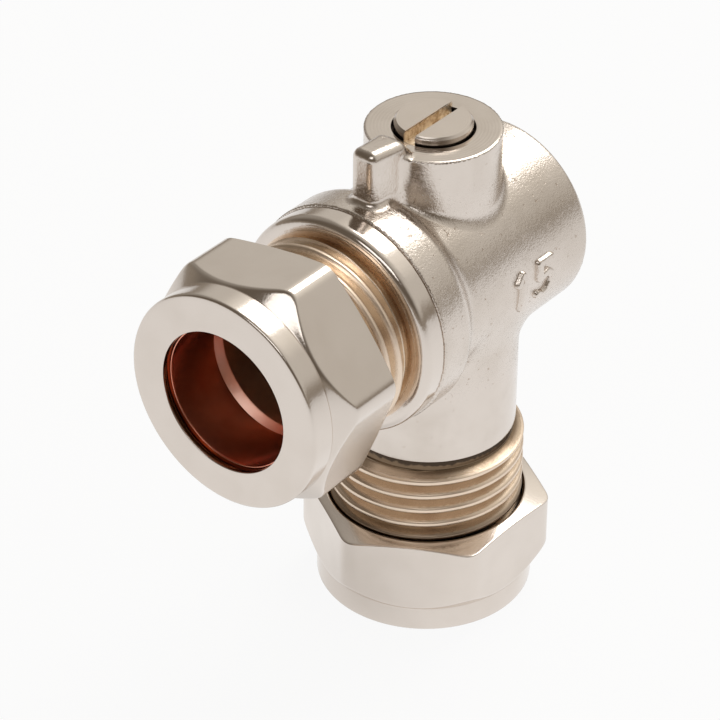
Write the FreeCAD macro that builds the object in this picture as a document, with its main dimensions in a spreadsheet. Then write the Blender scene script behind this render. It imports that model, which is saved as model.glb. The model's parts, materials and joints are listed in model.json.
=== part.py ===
import FreeCAD, Part
import math
import os
import Sketcher
from types import SimpleNamespace

# Angled isolating valve for 15 mm pipe: a forged body with a ball inside, a compression nut
# and olive on each port, and a slotted stem on top that turns the ball by a quarter turn.
# Frame: +Z up. The outlet port looks down, and the origin is the centre of its nut's end face.
# The inlet port looks along -Y, and both port axes cross at the ball's centre.

SIZES = {
    # Reach of each port from the ball's centre to its nut's end face
    "inlet_reach": 33.5,
    "outlet_reach": 40.06,
    # Pipe socket and waterway
    "socket_radius": 7.6,
    "socket_length": 8.9,
    "waterway_radius": 5.6,
    # Olive
    "olive_play": 0.02,
    "olive_edge_wall": 0.58,
    "olive_crown_rise": 0.75,
    "olive_length": 6.6,
    "olive_taper": 1.7,
    "olive_edge_break": 0.25,
    "olive_gap": 0.07,
    # Male pipe thread, with a relief behind it and a seat for the olive in its mouth
    "thread_wall": 2.8775,
    "thread_pitch": 1.814,
    "thread_depth": 1.162,
    "thread_crest": 0.3,
    "thread_relief": 1.55,
    "relief_depth": 0.07,
    "mouth_cone": 1.25,
    "mouth_land": 0.4,
    # Compression nut
    "nut_flats": 23.9,
    "nut_corner_radius": 13.55,
    "nut_length": 11.3,
    "nut_nose_radius": 11.78,
    "nut_nose_length": 2.95,
    "nut_front_chamfer": 2.0,
    "nut_back_chamfer": 0.65,
    "nut_back_land": 0.3725,
    "nut_mouth_play": 0.16,
    "nut_lip": 0.6,
    "nut_cone_gap": 0.35,
    "nut_thread_start": 3.5,
    "nut_thread_gap": 0.15,
    "nut_edge": 0.3,
    "nut_mouth_edge": 0.12,
    "inlet_nut_turn": 51.3,
    "outlet_nut_turn": 29.3,
    # End connector, measured from the ball's centre along the inlet
    "flange_step": 0.1,
    "flange_thickness": 2.9,
    "flange_edge": 0.4,
    "flange_relief": 0.4,
    "flange_seam": 13.3,
    "seam_edge": 0.12,
    "spigot_shoulder": 0.95,
    "spigot_gap": 0.05,
    # Forged body
    "barrel_radius": 10.6,
    "barrel_end_wall": 4.1,
    "barrel_end_round": 0.8,
    "collar_radius": 12.2,
    "collar_back": 8.6,
    "collar_edge": 0.4,
    "leg_radius": 9.54,
    "leg_end": 19.45,
    "leg_edge": 0.25,
    "leg_fillet": 1.2,
    "boss_radius": 7.05,
    "boss_top": 16.35,
    "boss_edge": 0.2,
    "boss_fillet": 1.0,
    "lug_turn": 270.0,
    "lug_offset": 0.15,
    "lug_root": 6.1,
    "lug_reach": 11.5,
    "lug_root_width": 3.9,
    "lug_nose_width": 2.9,
    "lug_rise": 2.1,
    "lug_edge": 1.1,
    # Ball, seats and their chamber
    "ball_radius": 8.0,
    "ball_port_radius": 4.75,
    "ball_slot_depth": 2.1,
    "chamber_gap": 0.55,
    "seat_play": 0.1,
    "seat_bore_step": 0.15,
    "seat_room": 1.0,
    "seat_length": 4.4,
    "seat_gap": 0.05,
    # Stem and its seals, upwards from the ball
    "shoulder_gap": 0.5,
    "shoulder_radius": 5.2,
    "shoulder_height": 1.2,
    "shoulder_clearance": 0.2,
    "washer_height": 0.6,
    "washer_gap": 0.03,
    "stem_radius": 4.1,
    "stem_gap": 0.05,
    "head_recess_gap": 0.22,
    "head_recess_depth": 1.0,
    "head_rise": 0.8,
    "head_chamfer": 0.25,
    "driver_slot_width": 1.4,
    "driver_slot_depth": 1.3,
    "tang_width": 2.8,
    "tang_length": 8.0,
    "tang_side_gap": 0.1,
    "tang_gap": 0.2,
    "ring_section": 0.5,
    "ring_gap": 0.03,
    "ring_groove_play": 0.2,
    "ring_first_land": 0.77,
    "ring_land": 0.8,
}

FULL_TURN = 360.0
HEX_SIDES = 6
ROOT_THREE = math.sqrt(3.0)
# The pipe thread's flanks lean 27.5 degrees from square to the axis.
FLANK_SLOPE = math.tan(math.radians(27.5))
# A face at 45 degrees leans equally over its two legs.
ROOT_TWO = math.sqrt(2.0)
# How far a cutting tool stands out of the face that it cuts into.
TOOL_OVERRUN = 0.2
NEAR = 0.001

ALONG_Z = FreeCAD.Rotation()
ALONG_Y = FreeCAD.Rotation(FreeCAD.Vector(1, 0, 0), -90)
AGAINST_Y = FreeCAD.Rotation(FreeCAD.Vector(1, 0, 0), 90)


class Size:
    """A length: its formula in the sheet's cells, and its present value."""

    def __init__(self, text, value):
        self.text = text
        self.value = value

    @staticmethod
    def of(other):
        if isinstance(other, Size):
            return other
        return Size(repr(float(other)), float(other))

    def joined(self, sign, other, value):
        return Size(f"({self.text} {sign} {other.text})", value)

    def __add__(self, other):
        other = Size.of(other)
        return self.joined("+", other, self.value + other.value)

    def __sub__(self, other):
        other = Size.of(other)
        return self.joined("-", other, self.value - other.value)

    def __mul__(self, other):
        other = Size.of(other)
        return self.joined("*", other, self.value * other.value)

    def __truediv__(self, other):
        other = Size.of(other)
        return self.joined("/", other, self.value / other.value)

    def __neg__(self):
        return Size(f"(-{self.text})", -self.value)


ZERO = Size("0", 0.0)

doc = FreeCAD.newDocument("isolating_valve")
sheet = doc.addObject("Spreadsheet::Sheet", "Sizes")
for row, (alias, number) in enumerate(SIZES.items(), 1):
    sheet.set(f"A{row}", alias)
    sheet.set(f"B{row}", str(number))
    sheet.setAlias(f"B{row}", alias)
doc.recompute()
dim = SimpleNamespace(**{alias: Size(f"Sizes.{alias}", number) for alias, number in SIZES.items()})

# Radii of a port, outwards from the pipe
thread_radius = dim.socket_radius + dim.thread_wall
thread_root = thread_radius - dim.thread_depth
relief_radius = thread_root - dim.relief_depth
mouth_radius = dim.socket_radius + dim.mouth_cone
mouth_edge_radius = mouth_radius + dim.mouth_land
mouth_chamfer = thread_radius - mouth_edge_radius
olive_bore = dim.socket_radius + dim.olive_play
olive_edge_radius = olive_bore + dim.olive_edge_wall
olive_crown_radius = olive_edge_radius + dim.olive_crown_rise
nut_bore = dim.socket_radius + dim.nut_mouth_play
nut_cone_radius = olive_crown_radius + dim.nut_cone_gap
nut_thread_bore = thread_radius + dim.nut_thread_gap
nut_back_radius = nut_thread_bore + dim.nut_edge + dim.nut_back_land

# Depths along a port, counted inwards from the nut's end face
olive_start = dim.nut_lip + olive_edge_radius + dim.olive_gap - nut_bore
olive_end = olive_start + dim.olive_length
socket_mouth = olive_end + olive_edge_radius + dim.olive_gap - dim.socket_radius
pipe_stop = socket_mouth + dim.socket_length
port_mouth = socket_mouth - dim.mouth_cone
thread_run_in = dim.thread_depth / 2
leg_foot = port_mouth - dim.outlet_reach
leg_thread_top = -dim.leg_end - dim.thread_relief

# Reaches from the ball's centre along the inlet, and the radii of what lies there
ball_slot_width = dim.tang_width + dim.tang_side_gap * 2
chamber_radius = dim.ball_radius + dim.chamber_gap
spigot_radius = chamber_radius + dim.spigot_shoulder
seat_radius = chamber_radius - dim.seat_play
seat_bore = dim.ball_port_radius + dim.seat_bore_step
seat_back = dim.ball_radius + dim.seat_room
seat_front = seat_back - dim.seat_length
barrel_end = seat_back + dim.barrel_end_wall
flange_radius = dim.collar_radius - dim.flange_step
flange_front = dim.flange_seam + dim.flange_thickness

# Heights along the stem, counted upwards from the ball's centre, and the bores round it
ball_slot_floor = dim.ball_radius - dim.ball_slot_depth
tang_foot = ball_slot_floor + dim.tang_gap
shoulder_foot = dim.ball_radius + dim.shoulder_gap
shoulder_top = shoulder_foot + dim.shoulder_height
shoulder_bore = dim.shoulder_radius + dim.shoulder_clearance
washer_foot = shoulder_top + dim.washer_gap
washer_top = washer_foot + dim.washer_height
stem_bore = dim.stem_radius + dim.stem_gap
ring_groove_width = dim.ring_section * 2 + dim.ring_groove_play
ring_lower_height = washer_top + dim.ring_first_land + ring_groove_width / 2
ring_upper_height = ring_lower_height + ring_groove_width + dim.ring_land
head_recess_radius = dim.stem_radius + dim.head_recess_gap
head_recess_floor = dim.boss_top - dim.head_recess_depth
head_top = dim.boss_top + dim.head_rise
lug_top = dim.boss_top + dim.lug_rise


def bind(thing, **formulas):
    """Tie properties of a document object to the sheet."""
    for name, formula in formulas.items():
        thing.setExpression(name, Size.of(formula).text)


def place(thing, turn=ALONG_Z, x=ZERO, y=ZERO, z=ZERO):
    """Turn a document object and tie its place to the sheet."""
    thing.Placement = FreeCAD.Placement(FreeCAD.Vector(), turn)
    for axis, formula in (("x", x), ("y", y), ("z", z)):
        thing.setExpression(f"Placement.Base.{axis}", formula.text)
    return thing


def attach(sketch, body, role):
    """Lay a sketch on one of its own body's origin planes."""
    plane = next(feature for feature in body.Origin.OriginFeatures if feature.Role == role)
    sketch.AttachmentSupport = [(plane, "")]
    sketch.MapMode = "FlatFace"


def outline(body, name, role, points):
    """A closed sketch of straight lines on one of a body's own planes, every corner tied to the sheet."""
    sketch = body.newObject("Sketcher::SketchObject", name)
    attach(sketch, body, role)
    corners = [FreeCAD.Vector(across.value, along.value, 0) for across, along in points]
    for index, corner in enumerate(corners):
        following = corners[(index + 1) % len(corners)]
        sketch.addGeometry(Part.LineSegment(corner, following), False)
    for index in range(len(corners)):
        sketch.addConstraint(Sketcher.Constraint("Coincident", index, 2, (index + 1) % len(corners), 1))
    for index, (across, along) in enumerate(points):
        tie_corner(sketch, index, "DistanceX", across, -2)
        tie_corner(sketch, index, "DistanceY", along, -1)
    return sketch


def tie_corner(sketch, index, kind, formula, zero_axis):
    if formula is ZERO:
        sketch.addConstraint(Sketcher.Constraint("PointOnObject", index, 1, zero_axis))
        return
    constraint = sketch.addConstraint(Sketcher.Constraint(kind, -1, 1, index, 1, formula.value))
    sketch.setExpression(f"Constraints[{constraint}]", formula.text)


def revolve(body, kind, name, role, axis, points):
    """A revolved feature, additive or subtractive, of an outline about one of its sketch's axes."""
    sketch = outline(body, f"{name}_profile", role, points)
    feature = body.newObject(f"PartDesign::{kind}", name)
    feature.Profile = sketch
    feature.ReferenceAxis = (sketch, [axis])
    feature.Angle = FULL_TURN
    doc.recompute()
    return feature


def turned(name, points):
    """A body turned about its own Z axis from an outline of radii and heights."""
    body = doc.addObject("PartDesign::Body", name)
    revolve(body, "Revolution", f"{name}_blank", "XZ_Plane", "V_Axis", points)
    return body


def cut_thread(body, name, start, end):
    """A male pipe thread, cut as a helical groove from one height to another on a turned blank."""
    root_half = dim.thread_crest / 2
    outer = thread_radius + TOOL_OVERRUN
    mouth_half = root_half + (dim.thread_depth + TOOL_OVERRUN) * FLANK_SLOPE
    groove = [
        (thread_root, start - root_half),
        (outer, start - mouth_half),
        (outer, start + mouth_half),
        (thread_root, start + root_half),
    ]
    sketch = outline(body, f"{name}_groove", "XZ_Plane", groove)
    thread = body.newObject("PartDesign::SubtractiveHelix", name)
    thread.Profile = sketch
    thread.ReferenceAxis = (sketch, ["V_Axis"])
    thread.Mode = "pitch-height-angle"
    bind(thread, Pitch=dim.thread_pitch, Height=end - start)
    doc.recompute()
    return thread


def edges_where(shape, test):
    """Names of the edges that pass a test along their whole length."""
    samples = 7
    return [f"Edge{number}" for number, edge in enumerate(shape.Edges, 1)
            if all(test(point) for point in edge.discretize(samples))]


def round_edges(body, name, radius, test):
    """Fillet the edges of a body's last feature that pass a test."""
    base = body.Tip
    names = edges_where(base.Shape, test)
    fillet = body.newObject("PartDesign::Fillet", name)
    fillet.Base = (base, names)
    bind(fillet, Radius=radius)
    doc.recompute()


def near(value, size):
    return abs(value - size.value) < NEAR


def from_z_axis(point):
    return math.hypot(point.x, point.y)


def from_y_axis(point):
    return math.hypot(point.x, point.z)


def outline_circle(body, name, radius):
    """A circle about the Z axis on a body's XY plane, its radius tied to the sheet."""
    sketch = body.newObject("Sketcher::SketchObject", name)
    attach(sketch, body, "XY_Plane")
    sketch.addGeometry(Part.Circle(FreeCAD.Vector(), FreeCAD.Vector(0, 0, 1), radius.value), False)
    sketch.addConstraint(Sketcher.Constraint("Coincident", 0, 3, -1, 1))
    constraint = sketch.addConstraint(Sketcher.Constraint("Radius", 0, radius.value))
    sketch.setExpression(f"Constraints[{constraint}]", radius.text)
    return sketch


def pad(body, name, sketch, length):
    feature = body.newObject("PartDesign::Pad", name)
    feature.Profile = sketch
    bind(feature, Length=length)
    doc.recompute()
    return feature


def make_valve_body():
    """The forging: barrel, collar, leg, boss and lug, bored for the ball, the stem and the pipe."""
    body = doc.addObject("PartDesign::Body", "valve_body")
    place(body, z=dim.outlet_reach)
    forge_barrel_and_leg(body)
    forge_boss_and_lug(body)
    bore_body(body)
    return body


def forge_barrel_and_leg(body):
    revolve(body, "Revolution", "barrel", "YZ_Plane", "H_Axis", [
        (-dim.flange_seam, ZERO),
        (-dim.flange_seam, dim.collar_radius - dim.seam_edge),
        (dim.seam_edge - dim.flange_seam, dim.collar_radius),
        (-dim.collar_back - dim.collar_edge, dim.collar_radius),
        (-dim.collar_back, dim.collar_radius - dim.collar_edge),
        (-dim.collar_back, dim.barrel_radius),
        (barrel_end, dim.barrel_radius),
        (barrel_end, ZERO),
    ])
    revolve(body, "Revolution", "leg", "XZ_Plane", "V_Axis", [
        (ZERO, ZERO),
        (dim.leg_radius, ZERO),
        (dim.leg_radius, dim.leg_edge - dim.leg_end),
        (dim.leg_radius - dim.leg_edge, -dim.leg_end),
        (relief_radius, -dim.leg_end),
        (relief_radius, leg_thread_top),
        (thread_radius, leg_thread_top - thread_run_in),
        (thread_radius, leg_foot + mouth_chamfer),
        (mouth_edge_radius, leg_foot),
        (ZERO, leg_foot),
    ])
    round_edges(body, "barrel_end_rounding", dim.barrel_end_round,
                lambda point: near(point.y, barrel_end))
    round_edges(body, "leg_fillet", dim.leg_fillet,
                lambda point: near(from_z_axis(point), dim.leg_radius)
                and near(from_y_axis(point), dim.barrel_radius))


def forge_boss_and_lug(body):
    pad(body, "boss", outline_circle(body, "boss_circle", dim.boss_radius), dim.boss_top)
    round_edges(body, "boss_fillet", dim.boss_fillet,
                lambda point: near(from_z_axis(point), dim.boss_radius)
                and near(from_y_axis(point), dim.barrel_radius))
    round_edges(body, "boss_rounding", dim.boss_edge,
                lambda point: near(from_z_axis(point), dim.boss_radius) and near(point.z, dim.boss_top))
    root_half = dim.lug_root_width / 2
    nose_half = dim.lug_nose_width / 2
    lug = outline(body, "lug_outline", "XY_Plane", [
        (dim.lug_root, -root_half - dim.lug_offset),
        (dim.lug_reach, -nose_half - dim.lug_offset),
        (dim.lug_reach, nose_half - dim.lug_offset),
        (dim.lug_root, root_half - dim.lug_offset),
    ])
    lug.setExpression("AttachmentOffset.Rotation.Angle", dim.lug_turn.text)
    pad(body, "lug", lug, lug_top)
    round_edges(body, "lug_rounding", dim.lug_edge, lambda point: near(point.z, lug_top))


def bore_body(body):
    revolve(body, "Groove", "chamber", "YZ_Plane", "H_Axis", [
        (-dim.flange_seam, ZERO),
        (-dim.flange_seam, spigot_radius + dim.spigot_gap),
        (-seat_back, spigot_radius + dim.spigot_gap),
        (-seat_back, chamber_radius),
        (seat_back, chamber_radius),
        (seat_back, ZERO),
    ])
    revolve(body, "Groove", "outlet_bore", "XZ_Plane", "V_Axis", [
        (ZERO, ZERO),
        (dim.waterway_radius, ZERO),
        (dim.waterway_radius, pipe_stop - dim.outlet_reach),
        (dim.socket_radius, pipe_stop - dim.outlet_reach),
        (dim.socket_radius, socket_mouth - dim.outlet_reach),
        (mouth_radius, leg_foot),
        (ZERO, leg_foot),
    ])
    revolve(body, "Groove", "stem_bore", "XZ_Plane", "V_Axis", [
        (ZERO, ZERO),
        (shoulder_bore, ZERO),
        (shoulder_bore, washer_top),
        (stem_bore, washer_top),
        (stem_bore, head_recess_floor),
        (head_recess_radius, head_recess_floor),
        (head_recess_radius, dim.boss_top),
        (ZERO, dim.boss_top),
    ])
    cut_thread(body, "leg_thread", leg_foot - dim.thread_pitch, -dim.leg_end - dim.thread_relief / 2)


def make_end_connector():
    """The turned insert at the inlet, its heights counted inwards from the inlet nut's end face."""
    flange_face = dim.inlet_reach - flange_front
    flange_back = dim.inlet_reach - dim.flange_seam
    spigot_end = dim.inlet_reach - seat_back
    thread_end = flange_face - dim.flange_relief
    body = turned("end_connector", [
        (dim.socket_radius, socket_mouth),
        (mouth_radius, port_mouth),
        (mouth_edge_radius, port_mouth),
        (thread_radius, port_mouth + mouth_chamfer),
        (thread_radius, thread_end - thread_run_in),
        (relief_radius, thread_end),
        (relief_radius, flange_face),
        (flange_radius - dim.flange_edge, flange_face),
        (flange_radius, flange_face + dim.flange_edge),
        (flange_radius, flange_back - dim.seam_edge),
        (flange_radius - dim.seam_edge, flange_back),
        (spigot_radius, flange_back),
        (spigot_radius, spigot_end),
        (dim.waterway_radius, spigot_end),
        (dim.waterway_radius, pipe_stop),
        (dim.socket_radius, pipe_stop),
    ])
    cut_thread(body, "connector_thread", port_mouth - dim.thread_pitch, flange_face - dim.thread_pitch / 2)
    return place(body, ALONG_Y, y=-dim.inlet_reach, z=dim.outlet_reach)


def make_nut(name, turn):
    """A compression nut: a turned ring, cut to a hexagon by a prism. Its end face is at height zero."""
    ring = turned(f"{name}_ring", [
        (nut_bore + dim.nut_mouth_edge, ZERO),
        (dim.nut_nose_radius - dim.nut_edge, ZERO),
        (dim.nut_nose_radius, dim.nut_edge),
        (dim.nut_nose_radius, dim.nut_nose_length),
        (dim.nut_corner_radius, dim.nut_nose_length + dim.nut_front_chamfer),
        (dim.nut_corner_radius, dim.nut_length - dim.nut_back_chamfer),
        (nut_back_radius, dim.nut_length),
        (nut_thread_bore + dim.nut_edge, dim.nut_length),
        (nut_thread_bore, dim.nut_length - dim.nut_edge),
        (nut_thread_bore, dim.nut_thread_start + nut_thread_bore - nut_cone_radius),
        (nut_cone_radius, dim.nut_thread_start),
        (nut_cone_radius, dim.nut_lip + nut_cone_radius - nut_bore),
        (nut_bore, dim.nut_lip),
        (nut_bore, dim.nut_mouth_edge),
    ])
    prism = doc.addObject("Part::Prism", f"{name}_hexagon")
    prism.Polygon = HEX_SIDES
    bind(prism, Circumradius=dim.nut_flats / ROOT_THREE, Height=dim.nut_length)
    prism.setExpression("Placement.Rotation.Angle", turn.text)
    nut = doc.addObject("Part::Common", name)
    nut.Base = ring
    nut.Tool = prism
    return nut


def make_olive(name):
    """A copper olive: a ring with a crown, tapered to both ends. Heights as in its nut."""
    inner = olive_bore + dim.olive_edge_break
    return turned(name, [
        (inner, olive_start),
        (olive_edge_radius, olive_start),
        (olive_crown_radius, olive_start + dim.olive_taper),
        (olive_crown_radius, olive_end - dim.olive_taper),
        (olive_edge_radius, olive_end),
        (inner, olive_end),
        (olive_bore, olive_end - dim.olive_edge_break),
        (olive_bore, olive_start + dim.olive_edge_break),
    ])


def make_seat(name, turn):
    """A seat ring whose cone lies close to the ball, at 45 degrees, its heights from the ball's centre."""
    cone_reach = dim.ball_radius * ROOT_TWO + dim.seat_gap
    seat = turned(name, [
        (seat_bore, seat_back),
        (seat_radius, seat_back),
        (seat_radius, seat_front),
        (cone_reach - seat_front, seat_front),
        (seat_bore, cone_reach - seat_bore),
    ])
    return place(seat, turn, z=dim.outlet_reach)


def make_ball():
    """The ball: bored through along the inlet, with a port below and a slot on top for the tang."""
    blank = doc.addObject("Part::Sphere", "ball_blank")
    bind(blank, Radius=dim.ball_radius)
    through = doc.addObject("Part::Cylinder", "ball_bore")
    bind(through, Radius=dim.ball_port_radius, Height=dim.ball_radius * 2)
    place(through, ALONG_Y, y=-dim.ball_radius)
    below = doc.addObject("Part::Cylinder", "ball_port")
    bind(below, Radius=dim.ball_port_radius, Height=dim.ball_radius)
    place(below, z=-dim.ball_radius)
    slot = doc.addObject("Part::Box", "ball_slot")
    bind(slot, Length=dim.ball_radius * 2, Width=ball_slot_width, Height=dim.ball_slot_depth)
    place(slot, x=-dim.ball_radius, y=-ball_slot_width / 2, z=ball_slot_floor)
    cuts = doc.addObject("Part::MultiFuse", "ball_cuts")
    cuts.Shapes = [through, below, slot]
    ball = doc.addObject("Part::Cut", "ball")
    ball.Base = blank
    ball.Tool = cuts
    return place(ball, z=dim.outlet_reach)


def make_stem():
    """The stem: a turned spindle with two ring grooves, a tang for the ball and a slot for a screwdriver."""
    groove_radius = dim.stem_radius + dim.stem_gap - dim.ring_section * 2 - dim.ring_gap * 2
    groove_half = ring_groove_width / 2
    profile = [
        (ZERO, shoulder_foot),
        (dim.shoulder_radius, shoulder_foot),
        (dim.shoulder_radius, shoulder_top),
        (dim.stem_radius, shoulder_top),
    ]
    for ring_height in (ring_lower_height, ring_upper_height):
        profile += [
            (dim.stem_radius, ring_height - groove_half),
            (groove_radius, ring_height - groove_half),
            (groove_radius, ring_height + groove_half),
            (dim.stem_radius, ring_height + groove_half),
        ]
    profile += [
        (dim.stem_radius, head_top - dim.head_chamfer),
        (dim.stem_radius - dim.head_chamfer, head_top),
        (ZERO, head_top),
    ]
    spindle = turned("stem_spindle", profile)
    tang = doc.addObject("Part::Box", "stem_tang")
    bind(tang, Length=dim.tang_length, Width=dim.tang_width, Height=shoulder_top - tang_foot)
    place(tang, x=-dim.tang_length / 2, y=-dim.tang_width / 2, z=tang_foot)
    blank = doc.addObject("Part::Fuse", "stem_blank")
    blank.Base = spindle
    blank.Tool = tang
    slot = doc.addObject("Part::Box", "stem_slot")
    bind(slot, Length=dim.driver_slot_width, Width=dim.stem_radius * 2, Height=dim.driver_slot_depth)
    place(slot, x=-dim.driver_slot_width / 2, y=-dim.stem_radius, z=head_top - dim.driver_slot_depth)
    stem = doc.addObject("Part::Cut", "stem")
    stem.Base = blank
    stem.Tool = slot
    return place(stem, z=dim.outlet_reach)


def make_stem_ring(name, height):
    ring = doc.addObject("Part::Torus", name)
    bind(ring, Radius1=stem_bore - dim.ring_gap - dim.ring_section, Radius2=dim.ring_section)
    return place(ring, z=dim.outlet_reach + height)


def make_thrust_washer():
    washer = turned("stem_thrust_washer", [
        (stem_bore, washer_foot),
        (dim.shoulder_radius, washer_foot),
        (dim.shoulder_radius, washer_top),
        (stem_bore, washer_top),
    ])
    return place(washer, z=dim.outlet_reach)


def on_inlet(piece):
    """Turn a piece of a port, drawn standing on its nut's end face, to the inlet."""
    return place(piece, ALONG_Y, y=-dim.inlet_reach, z=dim.outlet_reach)


nodes = [
    make_valve_body(),
    make_end_connector(),
    make_ball(),
    make_seat("front_seat", AGAINST_Y),
    make_seat("rear_seat", ALONG_Y),
    make_stem(),
    make_stem_ring("stem_o_ring_lower", ring_lower_height),
    make_stem_ring("stem_o_ring_upper", ring_upper_height),
    make_thrust_washer(),
    on_inlet(make_nut("inlet_nut", dim.inlet_nut_turn)),
    on_inlet(make_olive("inlet_olive")),
    make_nut("outlet_nut", dim.outlet_nut_turn),
    make_olive("outlet_olive"),
]
doc.recompute()

for thing in doc.Objects:
    if "Invalid" in thing.State or "Error" in thing.State:
        raise ValueError(f"{thing.Name} failed: {thing.State}")
for node in nodes:
    if node.Shape.isNull() or not node.Shape.isValid() or len(node.Shape.Solids) != 1:
        raise ValueError(f"{node.Label} is not one sound solid")

os.makedirs("parts", exist_ok=True)
for node in nodes:
    node.Shape.exportStep(f"parts/{node.Label}.step")
    print(f"{node.Label}: {node.Shape.Volume:.1f} mm3")
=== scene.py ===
import json
import math

import bmesh
import bpy
import numpy as np
from mathutils import Matrix, Vector


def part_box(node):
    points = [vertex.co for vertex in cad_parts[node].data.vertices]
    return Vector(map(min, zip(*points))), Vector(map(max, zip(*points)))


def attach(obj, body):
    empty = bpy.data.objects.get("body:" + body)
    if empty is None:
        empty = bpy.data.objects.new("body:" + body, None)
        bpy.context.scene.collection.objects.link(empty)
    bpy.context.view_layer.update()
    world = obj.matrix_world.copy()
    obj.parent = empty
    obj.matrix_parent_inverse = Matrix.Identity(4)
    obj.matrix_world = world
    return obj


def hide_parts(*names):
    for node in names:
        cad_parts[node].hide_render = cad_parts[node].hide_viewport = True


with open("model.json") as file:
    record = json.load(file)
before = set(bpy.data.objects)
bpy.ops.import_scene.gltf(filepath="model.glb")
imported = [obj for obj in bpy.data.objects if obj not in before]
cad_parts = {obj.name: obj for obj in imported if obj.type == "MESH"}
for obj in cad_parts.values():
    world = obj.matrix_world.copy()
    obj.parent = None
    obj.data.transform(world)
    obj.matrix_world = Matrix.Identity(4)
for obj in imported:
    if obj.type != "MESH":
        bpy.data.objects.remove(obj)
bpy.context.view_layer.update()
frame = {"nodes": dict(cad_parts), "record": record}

# Angled isolating valve in nickel-plated brass: the looks of its pieces, its studio and its camera.
# The frame is the part's own: metres, +Z up, the outlet looks down and the inlet along -Y.
# Sizes of pieces and patterns are in millimetres.

MM = 0.001
FULL_TURN = 2 * math.pi

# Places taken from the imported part
mounts = {mount["name"]: mount for mount in frame["record"]["mounts"]}
SOCKET_RADIUS = mounts["outlet_pipe_socket"]["dims"]["r_mm"]
BALL_HEIGHT = mounts["inlet_pipe_socket"]["pos_m"][2] / MM
INLET_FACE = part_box("inlet_nut")[0].y / MM
OUTLET_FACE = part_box("outlet_nut")[0].z / MM

# Compression nut, its heights counted inwards from its end face
NUT_APOTHEM = 11.95
NUT_CORNER_RADIUS = 13.75
NUT_LENGTH = 11.3
NUT_NOSE_RADIUS = 11.78
NUT_NOSE_LENGTH = 2.95
NUT_NECK_DEPTH = 0.05
NUT_NECK_LENGTH = 0.25
NUT_NECK_BOTTOM = 0.1
NUT_FRONT_CHAMFER = 2.2
NUT_BACK_CHAMFER = 0.65
NUT_BACK_RADIUS = 11.0
NUT_MOUTH_RADIUS = 7.76
NUT_LIP = 0.6
NUT_CONE_RADIUS = 9.3
NUT_THREAD_START = 3.5
NUT_THREAD_BORE = 10.6275
NUT_MOUTH_EDGE = 0.14
NUT_NOSE_EDGE = 0.4
NUT_NECK_EDGE = 0.06
NUT_BORE_BREAK = 0.2
NUT_EDGE = 0.12
NUT_CORNER_SOFTNESS = 2.0
NUT_EDGE_SOFTNESS = 0.4
INLET_NUT_TURN = math.radians(51.3)
OUTLET_NUT_TURN = math.radians(29.3)
NUT_STEPS = 540
NUT_SPACING = 0.45
NUT_FRONT_SPACING = 0.1
NUT_BACK_SPACING = 0.08
NUT_RING_PITCH = 0.3

# Olive in its nut, with heights as in the nut
OLIVE_BORE = 7.62
OLIVE_EDGE_RADIUS = 8.2
OLIVE_CROWN_RADIUS = 8.95
OLIVE_START = 1.11
OLIVE_END = 7.71
OLIVE_TAPER = 1.7
OLIVE_EDGE = 0.1
OLIVE_CROWN_ROUND = 0.6
OLIVE_STEPS = 240
OLIVE_SPACING = 0.25

# Male pipe thread and the ports that carry it, with heights as in the nut
THREAD_RADIUS = 10.4775
THREAD_ROOT = 9.3155
THREAD_PITCH = 1.814
THREAD_FLANK = math.tan(math.radians(27.5))
THREAD_ROOT_HALF = 0.06
THREAD_RUN_IN = 0.581
THREAD_SOFTNESS = 0.16
RELIEF_RADIUS = 9.2455
PORT_MOUTH = 7.13
MOUTH_RADIUS = 8.85
MOUTH_EDGE_RADIUS = 9.25
SOCKET_MOUTH = 9.05
PIPE_STOP = 17.28
WATERWAY_RADIUS = 5.6
LEG_THREAD_TOP = 19.6
LEG_SHOULDER = 20.61
SLEEVE_TOP = 20.9
FLANGE_FACE = 17.3
FLANGE_BACK = 20.2
FLANGE_RADIUS = 12.1
CONNECTOR_THREAD_END = 16.9
SPIGOT_RADIUS = 9.5
SPIGOT_END = 24.5
PORT_EDGE = 0.08
TURNED_EDGE = 0.1
RELIEF_FOOT = 0.2
SLEEVE_EDGE = 0.05
FLANGE_FRONT_ROUND = 1.0
FLANGE_FOOT_ROUND = 0.5
LEG_SPACING = 0.13
CONNECTOR_SPACING = 0.15
HIDDEN_SPACING = 0.8

# Forging, its reaches counted from the ball's centre
BARREL_RADIUS = 10.75
BARREL_END = 13.25
BARREL_END_ROUND = 0.6
COLLAR_RADIUS = 12.2
COLLAR_BACK = 8.6
COLLAR_ROUND = 1.2
COLLAR_FILLET = 2.2
FLANGE_SEAM = 13.3
SEAM_EDGE = 0.15
LEG_RADIUS = 9.54
LEG_END = 19.45
LEG_EDGE = 0.3
LEG_FILLET = 1.4
BOSS_RADIUS = 7.15
BOSS_TOP = 16.2
BOSS_EDGE = 0.12
BOSS_FILLET = 0.75
LUG_OFFSET = 0.2
LUG_ROOT = 6.1
LUG_REACH = 11.5
LUG_ROOT_HALF = 1.95
LUG_NOSE_HALF = 1.55
LUG_TOP = 18.43
LUG_SLOPE = 0.1
LUG_EDGE = 0.9
LUG_TOP_ROUND = 1.1
LUG_BACK = 5.9
LUG_BACK_ROUND = 1.3
LUG_FILLET = 0.9
CHAMBER_RADIUS = 8.55
CHAMBER_REACH = 9.0
SPIGOT_BORE = 9.55
STEM_BORE = 4.15
SHOULDER_BORE = 5.4
SHOULDER_TOP = 10.33
RECESS_RADIUS = 4.32
RECESS_FLOOR = 15.35
FACING_RADIUS = 7.02
FACING_FOOT = 14.9
FACING_PROUD = 0.002
FACING_EDGE = 0.06
FACING_SHARP = math.radians(50)
FACING_STEPS = 180
FACING_SPACING = 0.2
FACING_RING_PITCH = 0.35
POCKET_RADIUS = 4.9
FORGING_LOW = (-12.8, -13.9, -20.1)
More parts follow.
